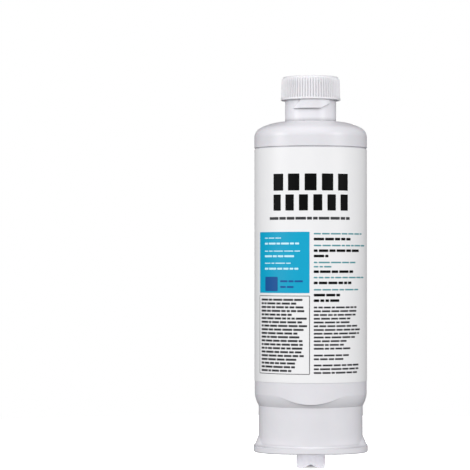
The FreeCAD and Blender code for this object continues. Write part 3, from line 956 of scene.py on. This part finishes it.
        # Painted shadow: a thin grey strip along the lap's cut edge.
        edge = [Mark(back - self.lap_width / 2, middle, self.shadow_line_width, tall)]
        shadow_line_lift = self.ink_lift + self.lap_film
        self.lay("label_lap_painted_shadow", edge, LAP_EDGE_SHADOW, shadow_line_lift, self.ink_film, self.shadow_line_corner)

    def print_ink(self) -> None:
        """Print the label, ink by ink."""
        # The words' lengths are drawn in this order.
        fine = self.lines(self.right_start, self.heading_rows, self.heading_tall)
        bold = self.lines(self.right_start, self.value_rows, self.value_tall)
        pale = self.panel_lines()
        navy = [self.tile, *self.lines(self.tile_start, self.tile_rows, self.tile_tall)]
        small = self.line(-self.subtitle.end, self.subtitle, self.subtitle_tall)
        small += self.small_print() + self.frame_bars()
        panel_left = self.left_edge + self.panel_inset
        panel = [self.span(panel_left, self.middle, self.panel_height, self.panel_tall)]
        self.ink("print_black", self.headline() + bold, Ink.BLACK, self.ink_lift)
        self.ink("print_grey", small, Ink.GREY, self.ink_lift)
        self.ink("print_teal", fine, Ink.TEAL, self.ink_lift)
        self.ink("print_panel", panel, Ink.BLUE, self.ink_lift)
        self.ink("print_panel_lines", pale, Ink.PALE, self.over_lift)
        self.ink("print_panel_tile", navy, Ink.NAVY, self.over_lift)

    def build(self) -> None:
        """Dress the film, then model its lap and print."""
        dress_node("label", LABEL_FILM.make())
        self.lay_lap()
        self.print_ink()


@dataclass
class Housing:
    """Welded housing: the sump with its waist and flange, and the bayonet head."""

    mouldings: tuple[str, ...] = ("sump", "head")

    def dress(self) -> None:
        """Give both mouldings the same white plastic."""
        plastic = HOUSING_PLASTIC.make()
        for node in self.mouldings:
            dress_node(node, plastic)


@dataclass
class Element:
    """Filter element inside: carbon block, prefilter wrap and end caps."""

    block: str = "carbon_block"
    wrap: str = "prefilter_wrap"
    end_caps: tuple[str, ...] = ("upper_end_cap", "lower_end_cap")

    def dress(self) -> None:
        """Give each piece of the element its finish."""
        dress_node(self.block, BLOCK_CARBON.make())
        dress_node(self.wrap, WRAP_FIBRE.make())
        plastic = END_CAP_PLASTIC.make()
        for node in self.end_caps:
            dress_node(node, plastic)


@dataclass
class Seals:
    """Rubber rings on the head's steps and on the element's spigot."""

    rings: tuple[str, ...] = ("spigot_seal", "nose_seal", "outlet_seal")

    def dress(self) -> None:
        """Give the three rings the same rubber."""
        rubber = SEAL_RUBBER.make()
        for node in self.rings:
            dress_node(node, rubber)


@dataclass(frozen=True)
class Lamp:
    """Square soft box that faces the cartridge, with its place and width in millimetres.

    A lamp without gloss lights the surfaces and leaves no mirror image on them.
    """

    name: str
    place: tuple[float, float, float]
    width: float
    watts: float
    gloss: bool = True

    def hang(self, target: Vector) -> None:
        """Hang the lamp.

        Args:
            target: Where it points.
        """
        place = Vector(self.place) * MM
        turn = (target - place).to_track_quat("-Z", "Y").to_euler()
        bpy.ops.object.light_add(type="AREA", location=place, rotation=turn)
        lamp = bpy.context.object
        lamp.name = self.name
        lamp.data.size = self.width * MM
        lamp.data.energy = self.watts
        lamp.visible_glossy = self.gloss


@dataclass(frozen=True)
class Paper:
    """Round sheet of white paper that glows like a light table, with a painted shadow where its glow
    drops inside the cartridge's hollow stub.

    It is either only seen, or only lights the stub from below.
    """

    name: str
    width: float
    lift: float
    glow: float
    seen: bool
    points: int = 96
    tint: str = "#FBFBFB"
    fibre: str = "#F8F8F9"
    roughness: float = 0.9
    # Paper fibre is far too fine to show, so it is drawn as broad faint clouds.
    fibre_width: float = 40.0
    # Painted shadow: inside the stub's bore the glow drops to bore_glow, and it rises to the full glow
    # at the stub's outside.
    stub_radius: float = 8.0
    stub_bore: float = 5.7
    bore_glow: float = 0.3

    def make(self) -> bpy.types.Material:
        """Build the material.

        Returns:
            The finished material.
        """
        material, tree, shader = new_material(f"white_paper_{self.name}")
        spot = add_node(tree, "ShaderNodeTexCoord").outputs["Object"]
        clouds = add_node(
            tree, "ShaderNodeTexNoise", {"Vector": spot, "Scale": per_mm(self.fibre_width)}
        )
        tint = add_node(
            tree,
            "ShaderNodeMix",
            {"Factor": clouds.outputs["Fac"], MIX_A: linear(self.tint), MIX_B: linear(self.fibre)},
            data_type="RGBA",
        )
        reach = add_node(tree, "ShaderNodeVectorMath", {0: spot}, operation="LENGTH")
        # Painted shadow: the glow is weaker under the stub's bore.
        strength = add_node(
            tree,
            "ShaderNodeMapRange",
            {
                "Value": reach.outputs["Value"],
                "From Min": self.stub_bore * MM,
                "From Max": self.stub_radius * MM,
                "To Min": self.bore_glow,
                "To Max": self.glow,
            },
        )
        tree.links.new(tint.outputs[MIX_RESULT], shader.inputs["Base Color"])
        tree.links.new(strength.outputs["Result"], shader.inputs["Emission Strength"])
        shader.inputs["Emission Color"].default_value = linear(WHITE)
        shader.inputs["Roughness"].default_value = self.roughness
        shader.inputs["Specular IOR Level"].default_value = 0.0
        return material

    def lay(self) -> None:
        """Lay the sheet under the cartridge."""
        bpy.ops.object.select_all(action="DESELECT")
        bpy.ops.mesh.primitive_circle_add(
            vertices=self.points,
            radius=self.width / 2 * MM,
            fill_type="NGON",
            location=(0, 0, self.lift * MM),
        )
        piece = bpy.context.object
        piece.name = self.name
        piece.data.materials.append(self.make())
        piece.visible_camera = self.seen
        piece.visible_diffuse = not self.seen
        piece.visible_glossy = not self.seen
        piece.visible_shadow = False


@dataclass
class Studio:
    """White floor, soft light from the front and the camera."""

    distance: float = 1294.0
    eye_height: float = 112.5
    focal_length: float = 178.4
    sensor: float = 36.0
    yaw: float = 1.86
    pitch: float = 0.73
    # How far the camera sees, in distances to the cartridge.
    sight: float = 4.0
    papers: tuple[Paper, ...] = (
        Paper("floor", width=900.0, lift=-0.1, glow=0.9, seen=True),
        Paper("sheet", width=56.0, lift=0.0, glow=0.6, seen=False),
    )
    backdrop: float = 1.0
    bright: float = 1.33
    dim: float = 0.06
    # The room brightens from its back to its front and from the floor up, and dims again overhead.
    # Each pair gives the parts of a direction towards the front or up between which it does so.
    front_rise: tuple[float, float] = (-0.4, 0.4)
    up_rise: tuple[float, float] = (-0.6, 0.15)
    overhead_fall: tuple[float, float] = (1.7, 0.45)
    lamps: tuple[Lamp, ...] = (
        Lamp("left_lamp", (-1150.0, -520.0, 480.0), width=500.0, watts=6.4),
        Lamp("right_lamp", (1020.0, -700.0, 480.0), width=500.0, watts=5.0),
        Lamp("back_lamp", (0.0, 1300.0, 380.0), width=500.0, watts=13.0, gloss=False),
    )

    def place_camera(self) -> None:
        """Set the camera at the photograph's viewing angle."""
        place = (0, -self.distance * MM, self.eye_height * MM)
        turn = (math.radians(LEVEL + self.pitch), 0, math.radians(self.yaw))
        bpy.ops.object.camera_add(location=place, rotation=turn)
        camera = bpy.context.object
        camera.data.lens = self.focal_length
        camera.data.sensor_width = self.sensor
        camera.data.clip_end = self.sight * self.distance * MM
        bpy.context.scene.camera = camera

    def room_light(self, tree: bpy.types.NodeTree) -> bpy.types.NodeSocket:
        """Work out how bright the room is in each direction.

        Args:
            tree: The world's node tree.

        Returns:
            The socket that gives the strength.
        """
        toward = add_node(tree, "ShaderNodeTexCoord").outputs["Generated"]
        front, up = (0, -1, 0), (0, 0, 1)
        changes = ((front, self.front_rise), (up, self.up_rise), (up, self.overhead_fall))
        share_of_light: float | bpy.types.NodeSocket = 1.0
        for direction, (start, end) in changes:
            side = add_node(
                tree, "ShaderNodeVectorMath", {0: toward, 1: direction}, operation="DOT_PRODUCT"
            )
            share = add_node(
                tree,
                "ShaderNodeMapRange",
                {"Value": side.outputs["Value"], "From Min": start, "From Max": end},
                interpolation_type="SMOOTHSTEP",
            )
            product = add_node(
                tree,
                "ShaderNodeMath",
                {0: share_of_light, 1: share.outputs["Result"]},
                operation="MULTIPLY",
            )
            share_of_light = product.outputs["Value"]
        glow = add_node(
            tree,
            "ShaderNodeMapRange",
            {"Value": share_of_light, "To Min": self.dim, "To Max": self.bright},
        )
        return glow.outputs["Result"]

    def light(self) -> None:
        """Light the object from a bright front, with a white backdrop and a dimmer back."""
        scene = bpy.context.scene
        scene.view_settings.view_transform = "Standard"
        world = bpy.data.worlds.new("studio")
        world.use_nodes = True
        scene.world = world
        # Without its mirror image, white edges stand out from the white backdrop on every side.
        world.cycles_visibility.glossy = False
        tree = world.node_tree
        tree.nodes.clear()
        strength = self.room_light(tree)
        room = add_node(tree, "ShaderNodeBackground", {"Color": linear(WHITE), "Strength": strength})
        white = add_node(
            tree, "ShaderNodeBackground", {"Color": linear(WHITE), "Strength": self.backdrop}
        )
        seen = add_node(tree, "ShaderNodeLightPath").outputs["Is Camera Ray"]
        mixed = add_node(
            tree,
            "ShaderNodeMixShader",
            {0: seen, 1: room.outputs["Background"], 2: white.outputs["Background"]},
        )
        add_node(tree, "ShaderNodeOutputWorld", {"Surface": mixed.outputs["Shader"]})
        for lamp in self.lamps:
            lamp.hang(Vector((0, 0, self.eye_height * MM)))

    def build(self) -> None:
        """Set floor, light and camera."""
        for paper in self.papers:
            paper.lay()
        self.light()
        self.place_camera()


def main() -> None:
    """Build the scene piece by piece."""
    logging.basicConfig(level=logging.INFO, format="%(name)s: %(message)s")
    Housing().dress()
    Element().dress()
    Seals().dress()
    Label().build()
    Cap().build()
    Studio().build()


if __name__ == "__main__":
    main()
